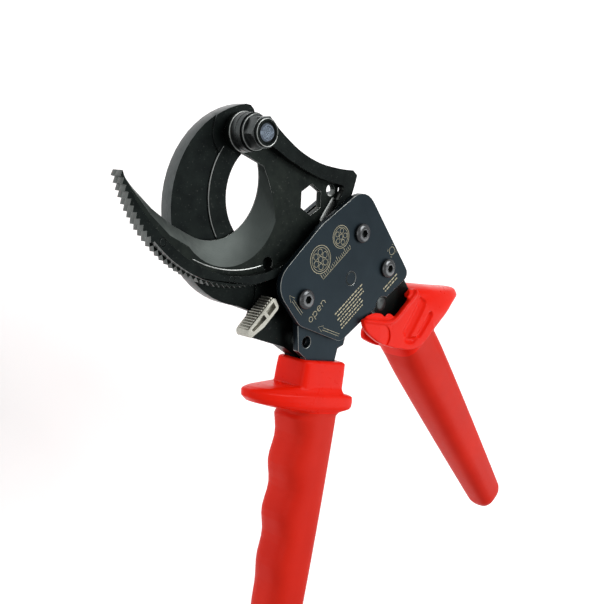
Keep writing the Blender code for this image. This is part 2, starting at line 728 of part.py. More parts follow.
for name, side, edge in (("front_cheek", 1, front_mouth), ("lower_cheek", -1, rear_mouth)):
    outline = smooth_through(edge, 4) + [(50.3, 9.2), (30.2, 11.1)]
    heights = sorted(side * z for z in MOUTH_Z)
    mouth_cheek = extruded(name, outline, heights, parent=handle, cutter=True)
    boolean(moving_grip, "UNION", lowered(mouth_cheek))
mouth_gap = ((-10.0, -45.0), (37.7, -45.0), (37.7, 9.9), (-10.0, 9.9))
plate_room = PLATE_Z[1] + GAP
mouth_room = extruded("mouth_room", mouth_gap, (-plate_room, plate_room), None, handle, True)
boolean(moving_grip, "DIFFERENCE", lowered(mouth_room))
end = CHANNEL_END + GAP
channel_room = ((30.0, -11.0), (44.0, -8.9), (end, -6.4), (end, 6.4), (44.0, 8.8), (30.0, 9.6))
channel_tool = extruded("channel_room", channel_room, (-7.3, 7.3), None, handle, True)
boolean(moving_grip, "DIFFERENCE", lowered(channel_tool))

# --- drive pawl, laid out along +X from its pin ---------------------------------------------------
drive = hinge_empty("drive_pawl_axis", DRIVE_PIN)
drive.parent = handle
drive.location.z = 0.0
drive.rotation_euler.z = math.radians(DRIVE_PAWL_ANGLE - OPEN_ANGLE)
tip = DRIVE_PAWL_LENGTH
drive_outline = arc((0.0, 0.0), 4.9, 40.0, 320.0, 14)
drive_outline += [(14.0, -4.0), (32.0, -4.4), (tip - 6.0, -3.4), (tip, 0.0), (tip - 1.2, 2.4)]
drive_outline += [(tip - 8.0, 3.0), (30.0, 1.8), (14.0, 2.6)]
drive_pawl = extruded("drive_pawl", drive_outline[::-1], PAWL_Z, GROUND_STEEL, drive)
drill(lowered(drive_pawl), (0.0, 0.0), DRIVE_PIN_R + GAP, parent=drive)

# --- holding pawl and its release lever -----------------------------------------------------------
TIP = polar((0, 0), TOOTH_TIP_R + GAP, -60.5)
pawl_outline = [(48.6, -64.4), (41.2, -62.4), (36.4, -60.2), TIP, (35.6, -63.6), (38.6, -68.6)]
pawl_outline += [(29.0, -72.2), (21.0, -80.0), (24.6, -82.0), (31.6, -76.6), (41.6, -73.0)]
pawl_outline += arc(PAWL_PIVOT, 5.6, 260.0, 400.0, 8)
holding_pawl = extruded("holding_pawl", pawl_outline, PAWL_Z, BLACK_STEEL)
drill(holding_pawl, PAWL_PIVOT, SCREW_HOLE_R)
lever_corners = (
    ((27.9, -68.1), 1.6),
    ((15.0, -84.6), 1.8),
    ((16.4, -88.6), 1.8),
    ((24.6, -82.2), 2.5),
    ((31.9, -72.9), 1.8),
)
lever = extruded("release_lever", rounded(lever_corners, 4), LEVER_Z, ZINC)
arm_room = ((45.0, -63.0), (28.6, -71.4), (20.4, -80.2), (24.8, -82.5), (32.0, -77.2), (45.0, -74.0))
boolean(lever, "DIFFERENCE", extruded("arm_room", arm_room, (-3.0, PAWL_Z[1] + GAP), cutter=True))
pockets = {
    "upper_pocket": ((27.9, -70.6), (24.2, -75.3), (26.6, -77.0), (29.8, -72.9)),
    "lower_pocket": ((23.2, -76.6), (17.4, -84.0), (18.8, -84.6), (25.3, -78.3)),
}
for name, outline in pockets.items():
    tool = extruded(name, outline, (LEVER_Z[1] - 2.2, LEVER_Z[1] + 3.0), cutter=True)
    boolean(lever, "DIFFERENCE", tool)

# --- springs --------------------------------------------------------------------------------------
inside = (-CHEEK_Z[0] + 1.2, CHEEK_Z[0] - 1.2)
coil_spring("handle_return_spring", HANDLE_PIVOT, 6.0, 0.6, inside, 3.5, (200, 3.0), None)
below = (-CHEEK_Z[0] + 1.0, -0.6)
coil_spring("drive_pawl_spring", DRIVE_PIN, 3.8, 0.45, below, 2.5, (100, 3.0), handle)
beside = (STRAP_Z[0] + 0.7, STRAP_Z[1] - 0.7)
coil_spring("holding_pawl_spring", PAWL_PIVOT, 4.9, 0.45, beside, 2.5, (250, 3.0), None)
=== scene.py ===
"""Looks of the ratchet cable cutter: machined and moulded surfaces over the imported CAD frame.

Lengths are in millimetres and become metres in to_m. Heights are counted from the middle of the
tool's thickness, MIDDLE, which is the height that the frame gives its joints.
"""

import json
import math
import random

import bmesh
import bpy
from mathutils import Matrix, Vector


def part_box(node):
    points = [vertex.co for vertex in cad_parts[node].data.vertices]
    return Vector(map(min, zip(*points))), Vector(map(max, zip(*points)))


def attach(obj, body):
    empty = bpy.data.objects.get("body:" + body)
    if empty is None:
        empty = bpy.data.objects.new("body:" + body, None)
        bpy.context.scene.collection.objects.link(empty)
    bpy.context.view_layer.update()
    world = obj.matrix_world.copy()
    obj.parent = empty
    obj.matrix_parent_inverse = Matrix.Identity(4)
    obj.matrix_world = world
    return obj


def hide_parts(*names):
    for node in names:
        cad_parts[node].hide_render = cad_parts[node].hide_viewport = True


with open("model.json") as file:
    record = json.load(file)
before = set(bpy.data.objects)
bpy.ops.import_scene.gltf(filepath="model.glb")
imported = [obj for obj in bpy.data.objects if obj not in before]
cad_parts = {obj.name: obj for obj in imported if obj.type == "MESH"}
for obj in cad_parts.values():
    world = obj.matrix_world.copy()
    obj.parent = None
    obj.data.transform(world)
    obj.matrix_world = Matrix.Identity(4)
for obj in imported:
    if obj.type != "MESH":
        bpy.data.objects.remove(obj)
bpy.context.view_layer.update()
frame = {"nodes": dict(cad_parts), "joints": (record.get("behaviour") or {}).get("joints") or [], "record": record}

UNIT = 0.001
JOINTS = {joint["name"]: joint for joint in frame["joints"]}
MIDDLE = JOINTS["blade_pivot"]["pos_m"][2] / UNIT
HANDLE_PIVOT = tuple(v / UNIT for v in JOINTS["handle_hinge"]["pos_m"][:2])


def node_middle(node):
    """The middle of a CAD node's box, in millimetres across the tool."""
    low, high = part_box(node)
    return tuple((low + high).xy / 2 / UNIT)


def node_heights(node):
    low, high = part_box(node)
    return low.z / UNIT - MIDDLE, high.z / UNIT - MIDDLE


PLATE_TOP = node_heights("front_side_plate")[1]
NUT_BASE, NUT_TOP = node_heights("pivot_nut")

# The moving handle's direction at rest, and the fixed handle's middle line.
OPEN_ANGLE = math.radians(-42.5)
FIXED_AXIS_X = 69.3
HANDLE_LENGTH = 191.5

# A normal's upright part: a face over FLAT_NORMAL lies flat, one under WALL_NORMAL stands up.
FLAT_NORMAL = 0.9995
WALL_NORMAL = 0.5

# The material slot that machined() gives the edges it breaks.
EDGE_SLOT = 2

# The moving grip's mouth: its inner wall, its outer face, and how far the guard's face lies lower.
MOUTH_FLOOR = 10.65
MOUTH_FACE = 13.8
FACE_DROP = 0.6
GUARD_FACE = MOUTH_FACE - FACE_DROP
ROOM_HEIGHT = 7.3
BOSS = (24.6, -24.1)
BOSS_RADIUS = 6.2
DIMPLE = (49.6, -116.9)

# The blade's pivot, with radii from it: the smooth rim in the CAD, where that rim is moved to,
# the collar, and the nut's corners.
PIVOT = (0.0, 0.0)
SMOOTH_RIM = (66.6, 66.9)
RIM_STEP = 65.7
EYE_COLLAR = 8.3
NUT_REACH = 7.5

FLOOR_DROP = 0.15
MARK_LIFT = 0.03
SHARP_GRIP = 50


# --- node materials ---------------------------------------------------------------------------
class Shader:
    """A Principled material whose nodes are added one call at a time."""

    def __init__(self, name, metallic, coat=0.0, specular=0.5):
        self.material = bpy.data.materials.new(name)
        self.material.use_nodes = True
        self.tree = self.material.node_tree
        self.bsdf = self.tree.nodes["Principled BSDF"]
        self.bsdf.inputs["Metallic"].default_value = metallic
        self.bsdf.inputs["Coat Weight"].default_value = coat
        self.bsdf.inputs["Specular IOR Level"].default_value = specular
        self.place = self.tree.nodes.new("ShaderNodeTexCoord").outputs["Object"]

    def node(self, kind, inputs=(), **settings):
        made = self.tree.nodes.new("ShaderNode" + kind)
        for key, value in settings.items():
            setattr(made, key, value)
        for key, value in dict(inputs).items():
            if hasattr(value, "is_output"):
                self.tree.links.new(value, made.inputs[key])
            else:
                made.inputs[key].default_value = value
        return made

    def math(self, operation, a, b=0.0):
        return self.node("Math", {0: a, 1: b}, operation=operation).outputs[0]

    def noise(self, scale, detail=3.0, place=None, rough=0.55):
        inputs = {"Scale": scale, "Detail": detail, "Roughness": rough}
        inputs["Vector"] = place or self.place
        return self.node("TexNoise", inputs).outputs["Fac"]

    def stretched(self, scale, turn=0.0):
        """Coordinates scaled differently along each axis, for brush marks."""
        inputs = {"Vector": self.place, "Scale": scale, "Rotation": (0.0, 0.0, turn)}
        return self.node("Mapping", inputs).outputs["Vector"]

    def around(self, center, radial, angular):
        """Coordinates for marks that run in circles about a point."""
        moved = self.node(
            "Mapping",
            {"Vector": self.place, "Location": (-center[0] * UNIT, -center[1] * UNIT, 0.0)},
        )
        parts = self.node("SeparateXYZ", {"Vector": moved.outputs["Vector"]}).outputs
        squares = self.math("ADD", self.math("POWER", parts[0], 2.0), self.math("POWER", parts[1], 2.0))
        radius = self.math("MULTIPLY", self.math("SQRT", squares), radial)
        turn = self.math("MULTIPLY", self.math("ARCTAN2", parts[1], parts[0]), angular)
        return self.node("CombineXYZ", {0: radius, 1: turn, 2: parts[2]}).outputs[0]

    def ramp(self, value, low, high, start, end):
        made = self.node("ValToRGB", {"Fac": value})
        made.color_ramp.elements[0].position = low
        made.color_ramp.elements[0].color = (*start, 1.0)
        made.color_ramp.elements[1].position = high
        made.color_ramp.elements[1].color = (*end, 1.0)
        return made.outputs["Color"]

    def span(self, value, low, high, start, end):
        inputs = {"Value": value, "From Min": low, "From Max": high, "To Min": start, "To Max": end}
        return self.node("MapRange", inputs).outputs["Result"]

    def mix(self, share, a, b):
        made = self.node("Mix", {"Factor": share}, data_type="RGBA")
        for index, value in ((6, a), (7, b)):
            if hasattr(value, "is_output"):
                self.tree.links.new(value, made.inputs[index])
            else:
                made.inputs[index].default_value = (*value, 1.0)
        return made.outputs[2]

    def bump(self, height, distance, strength=1.0, after=None):
        inputs = {"Height": height, "Distance": distance, "Strength": strength}
        if after is not None:
            inputs["Normal"] = after
        return self.node("Bump", inputs).outputs["Normal"]

    def finish(self, color, roughness, normal=None):
        self.tree.links.new(color, self.bsdf.inputs["Base Color"])
        self.tree.links.new(roughness, self.bsdf.inputs["Roughness"])
        if normal is not None:
            self.tree.links.new(normal, self.bsdf.inputs["Normal"])
        return self.material


def oxide_steel(name, dark, light, rough=(0.34, 0.52)):
    """Forged, blackened steel: mottled, with fine grit and a few rubbed specks."""
    s = Shader(name, 0.85, specular=0.25)
    mottle = s.noise(140.0, 5.0)
    grit = s.noise(2600.0, 2.0)
    specks = s.ramp(s.noise(900.0, 1.0), 0.68, 0.74, (0, 0, 0), (1, 1, 1))
    color = s.ramp(mottle, 0.3, 0.7, dark, light)
    rubbed = s.mix(s.math("MULTIPLY", specks, 0.1), color, (0.22, 0.23, 0.21))
    roughness = s.span(s.math("ADD", mottle, grit), 0.6, 1.4, *rough)
    return s.finish(rubbed, roughness, s.bump(grit, 0.00006, 0.5, s.bump(mottle, 0.00012, 0.3)))


def ground_steel(name, place_of, dark, light, rough=(0.28, 0.42), painted_shade_span=None):
    """Ground steel with fine marks that run the way place_of says.

    Given a span of two places along X, in metres, painted shade darkens the steel from one to the other.
    """
    s = Shader(name, 0.95)
    marks = s.noise(1.0, 4.0, place_of(s), 0.7)
    tone = s.noise(60.0, 2.0)
    color = s.ramp(s.math("MULTIPLY", s.math("ADD", marks, tone), 0.5), 0.34, 0.66, dark, light)
    # Painted shade: the colour is mixed towards a dark tone across the span.
    if painted_shade_span:
        across = s.node("SeparateXYZ", {"Vector": s.place}).outputs[0]
        color = s.mix(s.span(across, *painted_shade_span, 0.0, 0.8), color, (0.016, 0.02, 0.019))
    roughness = s.span(marks, 0.3, 0.7, *rough)
    return s.finish(color, roughness, s.bump(marks, 0.00003, 0.6))


def plate_steel():
    """Blued sheet steel with a satin, slightly clouded face."""
    s = Shader("blued_plate", 0.75, specular=0.3)
    cloud = s.noise(45.0, 3.0)
    grain = s.noise(1.0, 3.0, s.stretched((1200.0, 260.0, 1200.0), 0.6))
    grit = s.noise(3400.0, 1.0)
    color = s.ramp(cloud, 0.3, 0.72, (0.0095, 0.0175, 0.0235), (0.015, 0.0255, 0.033))
    roughness = s.span(s.math("ADD", grain, cloud), 0.7, 1.3, 0.34, 0.46)
    return s.finish(color, roughness, s.bump(grit, 0.00003, 0.35, s.bump(grain, 0.00003, 0.3)))


def red_plastic(name, color, deep, rough, grit_depth):
    """Moulded plastic: even colour, faint flow clouds, orange-peel and fine texture."""
    s = Shader(name, 0.0, coat=0.015, specular=0.09)
    cloud = s.noise(38.0, 4.0)
    peel = s.noise(420.0, 2.0)
    grit = s.noise(2800.0, 2.0)
    base = s.ramp(cloud, 0.3, 0.7, deep, color)
    roughness = s.span(s.math("ADD", peel, cloud), 0.7, 1.3, *rough)
    s.bsdf.inputs["Subsurface Weight"].default_value = 0.04
    s.bsdf.inputs["Subsurface Radius"].default_value = (0.004, 0.001, 0.0008)
    return s.finish(base, roughness, s.bump(grit, grit_depth, 0.5, s.bump(peel, 0.00008, 0.35)))


def engraving():
    s = Shader("engraved_mark", 0.6)
    tone = s.noise(900.0, 3.0)
    color = s.ramp(tone, 0.35, 0.65, (0.30, 0.27, 0.17), (0.55, 0.51, 0.36))
    return s.finish(color, s.span(tone, 0.3, 0.7, 0.4, 0.6))


def circles(center, radial=2600.0, angular=6.0):
    return lambda s: s.around(center, radial, angular)


def strokes(scale, turn=0.0):
    return lambda s: s.stretched(scale, turn)


FIXED_JAW = (22.2, -24.3)
LAND_RADIUS = 33.8
LAND_HEIGHT = -0.12
BEVEL_MIDDLE = (-2.0, -30.0)
BLACK = oxide_steel("black_oxide", (0.003, 0.0047, 0.0047), (0.0085, 0.012, 0.011))
WEB_BLACK = oxide_steel(
    "black_oxide_web", (0.0055, 0.008, 0.0075), (0.015, 0.0195, 0.0165), (0.36, 0.5)
)
BLUED = plate_steel()
WALL = ground_steel(
    "ground_wall", strokes((500.0, 500.0, 2600.0)), (0.045, 0.05, 0.05), (0.11, 0.12, 0.12)
)
TEETH = ground_steel(
    "cut_teeth", strokes((300.0, 300.0, 3000.0)), (0.05, 0.056, 0.053), (0.15, 0.16, 0.155)
)
# The ground bevel gets painted shade that darkens it towards +X.
BEVEL = ground_steel(
    "ground_bevel",
    circles(BEVEL_MIDDLE),
    (0.07, 0.082, 0.077),
    (0.16, 0.18, 0.17),
    rough=(0.42, 0.58),
    painted_shade_span=(-0.022, 0.014),
)
# Bare steel on broken edges and beads: partly real wear, partly painted highlight, toned light so edges read as
# bright lines.
BARE_EDGE_AND_PAINTED_HIGHLIGHT = ground_steel(
    "bare_edge_and_painted_highlight", strokes((900.0, 900.0, 900.0)), (0.28, 0.3, 0.29), (0.6, 0.62, 0.6)
)
BRIGHT = ground_steel(
    "dark_chrome", circles(PIVOT, 1800.0), (0.06, 0.063, 0.066), (0.15, 0.155, 0.16), (0.16, 0.3)
)
NICKEL = ground_steel(
    "nickel_lever", strokes((700.0, 2200.0, 700.0), 0.85), (0.27, 0.265, 0.23), (0.52, 0.515, 0.46)
)
BOLT_BLUE = ground_steel(
    "blue_zinc", circles(PIVOT, 3200.0), (0.09, 0.115, 0.145), (0.25, 0.3, 0.37), (0.16, 0.28)
)
SPRING = ground_steel(
    "spring_wire", strokes((2500.0, 2500.0, 2500.0)), (0.3, 0.3, 0.3), (0.6, 0.6, 0.58)
)
RED_GLOSS = red_plastic("red_gloss", (0.88, 0.014, 0.003), (0.78, 0.010, 0.002), (0.26, 0.36), 0.00001)
RED_SATIN = red_plastic("red_satin", (0.68, 0.020, 0.008), (0.60, 0.015, 0.006), (0.38, 0.5), 0.00005)
GOLD_MARK = engraving()


# --- mesh helpers -----------------------------------------------------------------------------
def to_m(x, y, z):
    return Vector((x, y, z + MIDDLE)) * UNIT


def polar(center, radius, degrees):
    angle = math.radians(degrees)
    return (center[0] + radius * math.cos(angle), center[1] + radius * math.sin(angle))


def arc(center, radius, start, end, steps):
    return [polar(center, radius, start + (end - start) * i / steps) for i in range(steps + 1)]


def along_handle(u, n):
    """A point laid out along the moving handle from its hinge, turned to where it rests."""
    c, s = math.cos(OPEN_ANGLE), math.sin(OPEN_ANGLE)
    return (HANDLE_PIVOT[0] + u * c - n * s, HANDLE_PIVOT[1] + u * s + n * c)


def catmull(rows, steps):
    """Rows of numbers made denser by a smooth curve through them."""
    ends = [rows[0], *rows, rows[-1]]
    dense = []
    for a, b, c, d in zip(ends, ends[1:], ends[2:], ends[3:]):
        for j in range(steps):
            t = j / steps
            row = []
            for p, q, r, s in zip(a, b, c, d):
                bend = (2 * p - 5 * q + 4 * r - s) * t**2 + (3 * q - p - 3 * r + s) * t**3
                row.append((2 * q + (r - p) * t + bend) / 2)
            dense.append(tuple(row))
    dense.append(tuple(rows[-1]))
    return dense


def mesh_object(name, shape, *materials):
    bmesh.ops.recalc_face_normals(shape, faces=shape.faces)
    mesh = bpy.data.meshes.new(name)
    shape.to_mesh(mesh)
    shape.free()
    for material in materials:
        mesh.materials.append(material)
    obj = bpy.data.objects.new(name, mesh)
    bpy.context.scene.collection.objects.link(obj)
    return obj


def applied(obj):
    """The object with its modifiers made real."""
    graph = bpy.context.evaluated_depsgraph_get()
    mesh = bpy.data.meshes.new_from_object(obj.evaluated_get(graph))
    old = obj.data
    obj.modifiers.clear()
    obj.data = mesh
    bpy.data.meshes.remove(old)
    return obj


def rounded_shading(obj, degrees=32):
    obj.data.shade_smooth()
    obj.data.set_sharp_from_angle(angle=math.radians(degrees))
    return obj


def prism(name, outline, low, high, *materials):
    """A flat outline given thickness between two heights."""
    shape = bmesh.new()
    bottom = [shape.verts.new(to_m(x, y, low)) for x, y in outline]
    top = [shape.verts.new(to_m(x, y, high)) for x, y in outline]
    for i in range(len(outline)):
        j = (i + 1) % len(outline)
        shape.faces.new((bottom[i], bottom[j], top[j], top[i]))
    shape.faces.new(bottom[::-1])
    shape.faces.new(top)
    return mesh_object(name, shape, *materials)


def loft(name, rings, *materials):
    shape = bmesh.new()
    loops = [[shape.verts.new(to_m(*p)) for p in ring] for ring in rings]
    for low, high in zip(loops, loops[1:]):
        for i in range(len(low)):
            j = (i + 1) % len(low)
            shape.faces.new((low[i], low[j], high[j], high[i]))
    shape.faces.new(loops[0])
    shape.faces.new(loops[-1])
    return mesh_object(name, shape, *materials)


def turned(name, center, profile, *materials, steps=64):
    """A solid of revolution from (radius, height) points, top to bottom."""
    rings = []
    for radius, height in profile:
        ring = [polar(center, radius, 360.0 * i / steps) for i in range(steps)]
        rings.append([(x, y, height) for x, y in ring])
    return loft(name, rings, *materials)


def use(obj, kind, **settings):
    modifier = obj.modifiers.new(kind.lower(), kind)
    for key, value in settings.items():
        setattr(modifier, key, value)
    return obj


def cut(obj, *tools, operation="DIFFERENCE"):
    """Boolean with tools that are used up."""
    for tool in tools:
        use(obj, "BOOLEAN", object=tool, operation=operation, solver="EXACT")
    applied(obj)
    for tool in tools:
        bpy.data.objects.remove(tool)
    return obj


def join(name, objects):
    """Several objects made one mesh; their material slots are kept in order."""
    shape = bmesh.new()
    materials = []
    for obj in objects:
        offset = len(shape.faces)
        shape.from_mesh(obj.data)
        shape.faces.ensure_lookup_table()
        own = list(obj.data.materials)
        for face in shape.faces[offset:]:
            material = own[face.material_index]
            if material not in materials:
                materials.append(material)
            face.material_index = materials.index(material)
        bpy.data.objects.remove(obj)
    mesh = bpy.data.meshes.new(name)
    shape.to_mesh(mesh)
    shape.free()
    for material in materials:
        mesh.materials.append(material)
    joined = bpy.data.objects.new(name, mesh)
    bpy.context.scene.collection.objects.link(joined)
    return joined


def machined(node, width, face, wall=None, edge=None, reshape=None, steps=2):
    """A CAD node's shape with its edges broken, ready to stand for the node.

    face goes on flats, wall on faces that stand upright, and edge on the broken edges.
    """
    shape = bmesh.new()
    shape.from_mesh(frame["nodes"][node].data)
    bmesh.ops.remove_doubles(shape, verts=shape.verts, dist=2e-6)
    if reshape:
        reshape(shape)
    bmesh.ops.dissolve_limit(shape, angle_limit=0.008, verts=shape.verts, edges=shape.edges)
    for part in shape.faces:
        part.material_index = 1 if abs(part.normal.z) < 0.4 else 0
    obj = mesh_object(node + "_machined", shape, face, wall or face, edge or face)
    use(
        obj,
        "BEVEL",
        width=width * UNIT,
        segments=steps,
        limit_method="ANGLE",
        angle_limit=math.radians(38),
        material=EDGE_SLOT,
        harden_normals=False,
    )
    applied(obj)
    for part in obj.data.polygons:
        part.use_smooth = abs(part.normal.z) < FLAT_NORMAL
    return obj


def keep(obj, node):
    """Lets the object stand for the CAD node, on the node's own body."""
    body = next(name for name, nodes in BODIES.items() if node in nodes)
    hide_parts(node)
    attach(obj, body)


BODIES = frame["record"]["behaviour"]["bodies"]


# --- blades -----------------------------------------------------------------------------------
def repaint(obj, rule):
    """Gives faces the slot that rule returns, where it returns one; broken edges keep theirs."""
    for part in obj.data.polygons:
        if part.material_index == EDGE_SLOT:
            continue
        chosen = rule(part.center / UNIT, part.normal)
        if chosen is not None:
            part.material_index = chosen


def bead(center, radius, start, end, height, half_width, *materials):
    """A low rounded ridge that follows an arc."""
    rings = []
    steps = max(30, int(abs(end - start) / 6.0))
    for i in range(steps + 1):
        turn = start + (end - start) * i / steps
        size = half_width * (0.3 if i in (0, steps) else 1.0)
        ring = []
        for part in range(8):
            angle = 2 * math.pi * part / 8
            place = polar(center, radius + size * math.cos(angle), turn)
            ring.append((*place, height + size * math.sin(angle)))
        rings.append(ring)
    return loft("bead", rings, *materials)


def make_fixed_blade():
    blade = machined("fixed_blade", 0.35, BLACK, WALL, BARE_EDGE_AND_PAINTED_HIGHLIGHT)

    def under_plates(center, normal):
        return 0 if center.x > 20 and abs(normal.z) < WALL_NORMAL else None

    repaint(blade, under_plates)
    # The bead along the land is bright bare steel: a painted highlight for the land's lit step.
    edge = bead(FIXED_JAW, LAND_RADIUS, 148.0, 222.0, LAND_HEIGHT, 0.26, BARE_EDGE_AND_PAINTED_HIGHLIGHT)
    keep(join("fixed_blade_ground", [blade, edge]), "fixed_blade")


def close_layer_gap(shape):
    """The toothed frame reaches down to the cutting blade, and its smooth rim lies behind the teeth."""
    low = node_heights("cutting_blade")[1]
    seam = node_heights("toothed_frame")[0]
    for vert in shape.verts:
        if abs(vert.co.z / UNIT - MIDDLE - seam) < 0.02:
            vert.co.z = (low + 0.02 + MIDDLE) * UNIT
        reach = vert.co.xy.length / UNIT
        if SMOOTH_RIM[0] < reach < SMOOTH_RIM[1] and vert.co.y < -20.0 * UNIT:
            vert.co.xy *= RIM_STEP / reach


def make_moving_blade():
    toothed = machined("toothed_frame", 0.4, BLACK, TEETH, BARE_EDGE_AND_PAINTED_HIGHLIGHT, close_layer_gap)

    def dark_inside(center, normal):
        reach = math.hypot(center.x, center.y)
        return 0 if abs(normal.z) < WALL_NORMAL and (reach < 64.0 or reach > 69.0) else None

    repaint(toothed, dark_inside)
    toothed.data.materials.append(WALL)
    collar_side = EYE_COLLAR - 1.0, EYE_COLLAR + 1.0

    def on_collar(center, normal):
        reach = math.hypot(center.x, center.y)
        return 3 if collar_side[0] < reach < collar_side[1] and abs(normal.z) < WALL_NORMAL else None

    repaint(toothed, on_collar)
    low, top = node_heights("toothed_frame")
    # Bright bare-steel rings at the collar's foot and top: painted highlight lines.
    foot = bead(PIVOT, EYE_COLLAR + 0.25, 78.0, 298.0, low + 0.1, 0.2, BARE_EDGE_AND_PAINTED_HIGHLIGHT)
    rim = bead(PIVOT, EYE_COLLAR - 0.2, 0.0, 358.0, top - 0.2, 0.18, BARE_EDGE_AND_PAINTED_HIGHLIGHT)
    toothed = join("toothed_frame_ground", [toothed, foot, rim])
    keep(toothed, "toothed_frame")
    web = machined("cutting_blade", 0.18, WEB_BLACK, TEETH, BARE_EDGE_AND_PAINTED_HIGHLIGHT)
    web.data.materials.append(BEVEL)

    def bevelled(center, normal):
        reach = math.hypot(center.x, center.y)
        if 0.08 < normal.z < FLAT_NORMAL and reach < 63.0 and center.z > MIDDLE + 1.0:
            return 3
        # Walls beside the hole and slot take the bright edge steel: a painted highlight.
        if abs(normal.z) < WALL_NORMAL and 53.9 < center.x < 61.5 and -31.5 < center.y < -18.0:
            return 2
        return 0 if abs(normal.z) < WALL_NORMAL and reach < 62.0 else None

    repaint(web, bevelled)
    face = node_heights("cutting_blade")[1]
    # A bright bare-steel bead across the blade's face: a painted highlight line.
    ridge = bead(PIVOT, 59.4, -107.0, -68.0, face, 0.36, BARE_EDGE_AND_PAINTED_HIGHLIGHT)
    web = join("cutting_blade_ground", [web, ridge])
    keep(web, "cutting_blade")
    for node in ("blade_rivet_rim", "blade_rivet_tail"):
        keep(machined(node, 0.12, BLACK, BLACK, WALL), node)


# --- pivot ------------------------------------------------------------------------------------
def make_pivot():
    corners = arc(PIVOT, NUT_REACH, 15.0, 315.0, 5)
    nut = prism("hexagon", corners, NUT_BASE + 0.9, NUT_TOP - 1.4, WALL, BARE_EDGE_AND_PAINTED_HIGHLIGHT)
    chamfer = ((6.3, NUT_TOP - 1.2), (7.62, NUT_TOP - 2.2), (7.62, NUT_BASE), (6.6, NUT_BASE - 0.2))
    cut(nut, turned("nut_chamfer", PIVOT, chamfer, BLACK), operation="INTERSECT")
    # The hexagon's broken edges take the bright edge steel, partly painted highlight.
    use(nut, "BEVEL", width=0.22 * UNIT, segments=2, limit_method="ANGLE", angle_limit=0.5, material=1)
    flange = ((7.2, NUT_BASE + 1.1), (7.7, NUT_BASE + 0.8), (7.7, NUT_BASE + 0.2), (7.3, NUT_BASE))
    bore = 4.35
    ring = (
        (bore, NUT_TOP - 0.5),
        (4.8, NUT_TOP),
        (5.6, NUT_TOP),
        (6.15, NUT_TOP - 0.45),
        (6.25, NUT_TOP - 1.6),
        (bore, NUT_TOP - 1.7),
    )
    pieces = [applied(nut), turned("nut_flange", PIVOT, flange, WALL)]
    pieces.append(turned("nut_ring", PIVOT, ring, BLACK))
    # Bright bare-steel rings at the nut's flange and crown: painted highlight lines.
    pieces.append(bead(PIVOT, 7.55, 0.0, 358.0, NUT_BASE + 0.95, 0.16, BARE_EDGE_AND_PAINTED_HIGHLIGHT))
    pieces.append(bead(PIVOT, 5.75, 0.0, 358.0, NUT_TOP - 0.15, 0.2, BARE_EDGE_AND_PAINTED_HIGHLIGHT))
    nut = rounded_shading(join("pivot_nut_turned", pieces), 30)
    keep(nut, "pivot_nut")

    low, high = node_heights("pivot_bolt")
    washer_top = node_heights("pivot_washer")[1]
    profile = [(0.25, high - 0.35), (2.4, high - 0.3), (2.7, high), (3.3, high), (3.9, high - 0.6)]
    for i in range(5):
        profile += [(3.95, high - 0.9 - i * 0.9), (3.55, high - 1.3 - i * 0.9)]
    profile += [(3.95, high - 5.6), (3.95, washer_top - 2.0), (8.1, washer_top - 2.0)]
    profile += [(8.1, low + 1.8), (7.6, low + 0.6), (6.8, low), (0.3, low)]
    bolt = rounded_shading(turned("pivot_bolt_turned", PIVOT, profile, BOLT_BLUE, BLACK), 30)
    repaint(bolt, lambda center, normal: 1 if center.z < MIDDLE - 7 else 0)
    keep(bolt, "pivot_bolt")
    keep(machined("pivot_washer", 0.2, BRIGHT, BRIGHT, BARE_EDGE_AND_PAINTED_HIGHLIGHT), "pivot_washer")


# --- plates and screws ------------------------------------------------------------------------
def ribbon(points, width, closed=False):
    """A thin flat line lying just above the front plate, as an open mesh of quads."""
    lift = PLATE_TOP + MARK_LIFT
    shape = bmesh.new()
    pairs = []
    count = len(points)
    for i, point in enumerate(points):
        if closed:
            before, after = points[i - 1], points[(i + 1) % count]
        else:
            before, after = points[max(i - 1, 0)], points[min(i + 1, count - 1)]
        way = (Vector(after) - Vector(before)).normalized()
        side = Vector((-way.y, way.x)) * width / 2
        a, b = Vector(point) + side, Vector(point) - side
        pairs.append([shape.verts.new(to_m(p.x, p.y, lift)) for p in (a, b)])
    for i in range(count if closed else count - 1):
        a, b = pairs[i], pairs[(i + 1) % count]
        shape.faces.new((a[0], a[1], b[1], b[0]))
    return mesh_object("mark", shape, GOLD_MARK)


def placed(points, origin, degrees):
    """Points laid out level, turned and moved to a place on the plate."""
    turn = Matrix.Rotation(math.radians(degrees), 2)
    return [tuple(Vector(origin) + turn @ Vector(p)) for p in points]


def arrow(origin, degrees, length):
    """An outlined arrow that points along its own +X."""
    head, half, thick = 3.4, 1.5, 0.55
    outline = [(0, thick), (length - head, thick), (length - head, half), (length, 0)]
    outline += [(x, -y) for x, y in reversed(outline[:3])]
    return ribbon(placed(outline, origin, degrees), 0.16, closed=True)


def stroke_letters(origin, degrees, size):
    """The word open in single strokes, each letter from arcs and straight lines."""
    half = size / 2
    bowl = arc((0.0, half), half, 0, 345, 18)
    upright = [(-half, -size * 0.55), (-half, size)]
    letters = (
        (bowl,),
        (bowl, upright),
        (arc((0.0, half), half, 5, 315, 16), [(-half, half), (half, half)]),
        ([(-half, 0.0), (-half, size)], [*arc((0.0, half), half, 180, 0, 8), (half, 0.0)]),
    )
    marks = []
    for i, lines in enumerate(letters):
        for line in lines:
            level = [(x + i * size * 1.45, y) for x, y in line]
            marks.append(ribbon(placed(level, origin, degrees), 0.26))
    return marks


def cable_end(center, radius, strands, turn):
    """A stranded cable's cross-section in line."""
    marks = [ribbon(arc(center, radius, 0, 354, 40), 0.24, closed=True)]
    marks.append(ribbon(arc(center, radius * 0.84, 0, 354, 36), 0.18, closed=True))
    for i in range(strands + 1):
        spot = center if i == strands else polar(center, radius * 0.52, i * 360 / strands + turn)
        marks.append(ribbon(arc(spot, radius * 0.22, 0, 345, 16), 0.18, closed=True))
    return marks


